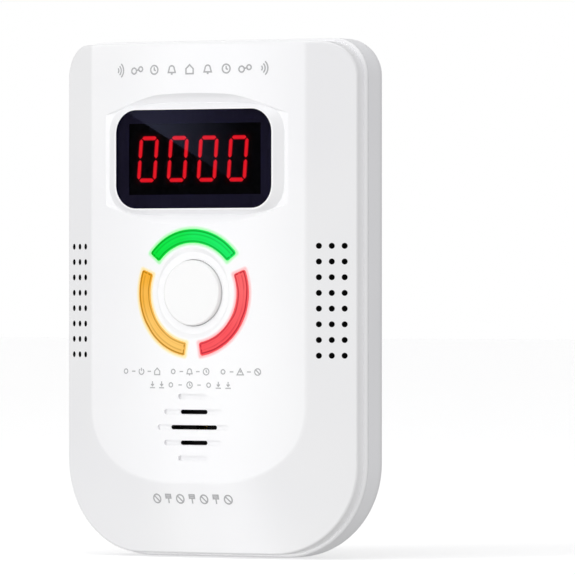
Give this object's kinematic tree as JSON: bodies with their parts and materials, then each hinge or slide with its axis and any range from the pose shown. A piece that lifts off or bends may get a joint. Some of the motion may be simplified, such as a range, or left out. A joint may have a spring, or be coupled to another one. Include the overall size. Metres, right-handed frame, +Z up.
{
  "type": "carbon monoxide detector",
  "caption": "Plug-in carbon monoxide alarm: crowned white case, red digit display, ring of status light pipes round a test button, side vents, sounder grille and a two-blade plug.",
  "frame": {"origin": "centre of the plug's seating face, midway between the two blades", "axes": "+Y runs along the plug blades into the outlet, the front of the alarm faces -Y, +Z is up and +X is to the right seen from the front"},
  "size_m": [0.0794, 0.0421, 0.12],
  "materials": {
    "cover_white": "semi-gloss white moulded ABS",
    "rear_white": "satin white moulded ABS",
    "button_white": "smooth white moulded plastic",
    "smoked_lens": "polished smoked acrylic",
    "lens_print": "dark blue-black printed film",
    "display_black": "matt black moulded display case",
    "segment_lit": "lit red diffuser",
    "segment_dark": "unlit red diffuser",
    "pipe_green": "frosted light pipe lit green",
    "pipe_amber": "frosted light pipe lit amber",
    "pipe_red": "frosted light pipe lit red",
    "led_body": "moulded lamp body",
    "baffle_black": "matt black light baffle",
    "spring_steel": "drawn spring wire",
    "switch_black": "moulded switch case",
    "board_green": "solder-masked glass-fibre laminate",
    "plated_steel": "zinc-plated steel",
    "tinned_lead": "tinned metal leads",
    "sounder_black": "moulded sounder case",
    "foam_grey": "soft foam gasket",
    "piezo_brass": "thin brass disc",
    "ceramic_white": "fired ceramic",
    "sensor_steel": "drawn nickel-plated can",
    "sensor_cap": "moulded cap",
    "filter_black": "carbon-loaded felt",
    "ferrite": "sintered ferrite",
    "winding_tape": "polyester winding tape",
    "can_sleeve": "shrunk sleeve",
    "film_yellow": "moulded box capacitor",
    "fuse_glass": "clear tube",
    "varistor_blue": "dipped coating",
    "chip_black": "moulded package",
    "plug_white": "moulded insulator",
    "blade_brass": "nickel-flashed brass blade",
    "contact_bronze": "phosphor-bronze spring clip",
    "mesh_grey": "fine woven screen",
    "label_silver": "blank satin label"
  },
  "bodies": {
    "housing": {"amber_leds": "led_body", "amber_light_pipe": "pipe_amber", "blade_contacts": "contact_bronze", "board_screws": "plated_steel", "bridge_rectifier": "chip_black", "button_spring": "spring_steel", "case_screws": "plated_steel", "chip_resistors": "chip_black", "co_sensor_can": "sensor_steel", "co_sensor_cap": "sensor_cap", "co_sensor_filter": "filter_black", "crystal": "sensor_steel", "digit_segments": "segment_lit", "display_body": "display_black", "display_pins": "tinned_lead", "display_window": "smoked_lens", "front_cover": "cover_white", "fuse_caps": "plated_steel", "fuse_tube": "fuse_glass", "green_leds": "led_body", "green_light_pipe": "pipe_green", "left_blade": "blade_brass", "light_baffle": "baffle_black", "main_board": "board_green", "microcontroller": "chip_black", "microcontroller_leads": "tinned_lead", "middle_segments": "segment_dark", "piezo_ceramic": "ceramic_white", "piezo_disc": "piezo_brass", "plug_base": "plug_white", "rating_label": "label_silver", "rear_cover": "rear_white", "red_leds": "led_body", "red_light_pipe": "pipe_red", "right_blade": "blade_brass", "safety_capacitor": "film_yellow", "sounder_cup": "sounder_black", "sounder_gasket": "foam_grey", "sounder_lid": "sounder_black", "storage_capacitors": "can_sleeve", "switch_body": "switch_black", "transformer_core": "ferrite", "transformer_winding": "winding_tape", "varistor": "varistor_blue", "vent_screens": "mesh_grey", "window_mask": "lens_print"},
    "button": {"test_button": "button_white"},
    "plunger": {"switch_plunger": "switch_black"}
  },
  "joints": [
    {"name": "button_press", "type": "slide", "parent": "housing", "child": "button", "axis": [0, 1, 0], "range_m": [0, 0.0008], "stiffness_N_per_m": 1500, "springref_m": -0.0006, "deforming": ["button_spring"]},
    {"name": "plunger_press", "type": "slide", "parent": "housing", "child": "plunger", "axis": [0, 1, 0], "range_m": [0, 0.0008]}
  ],
  "couplings": [
    {"joint": "plunger_press", "follows": "button_press", "ratio": 1}
  ]
}
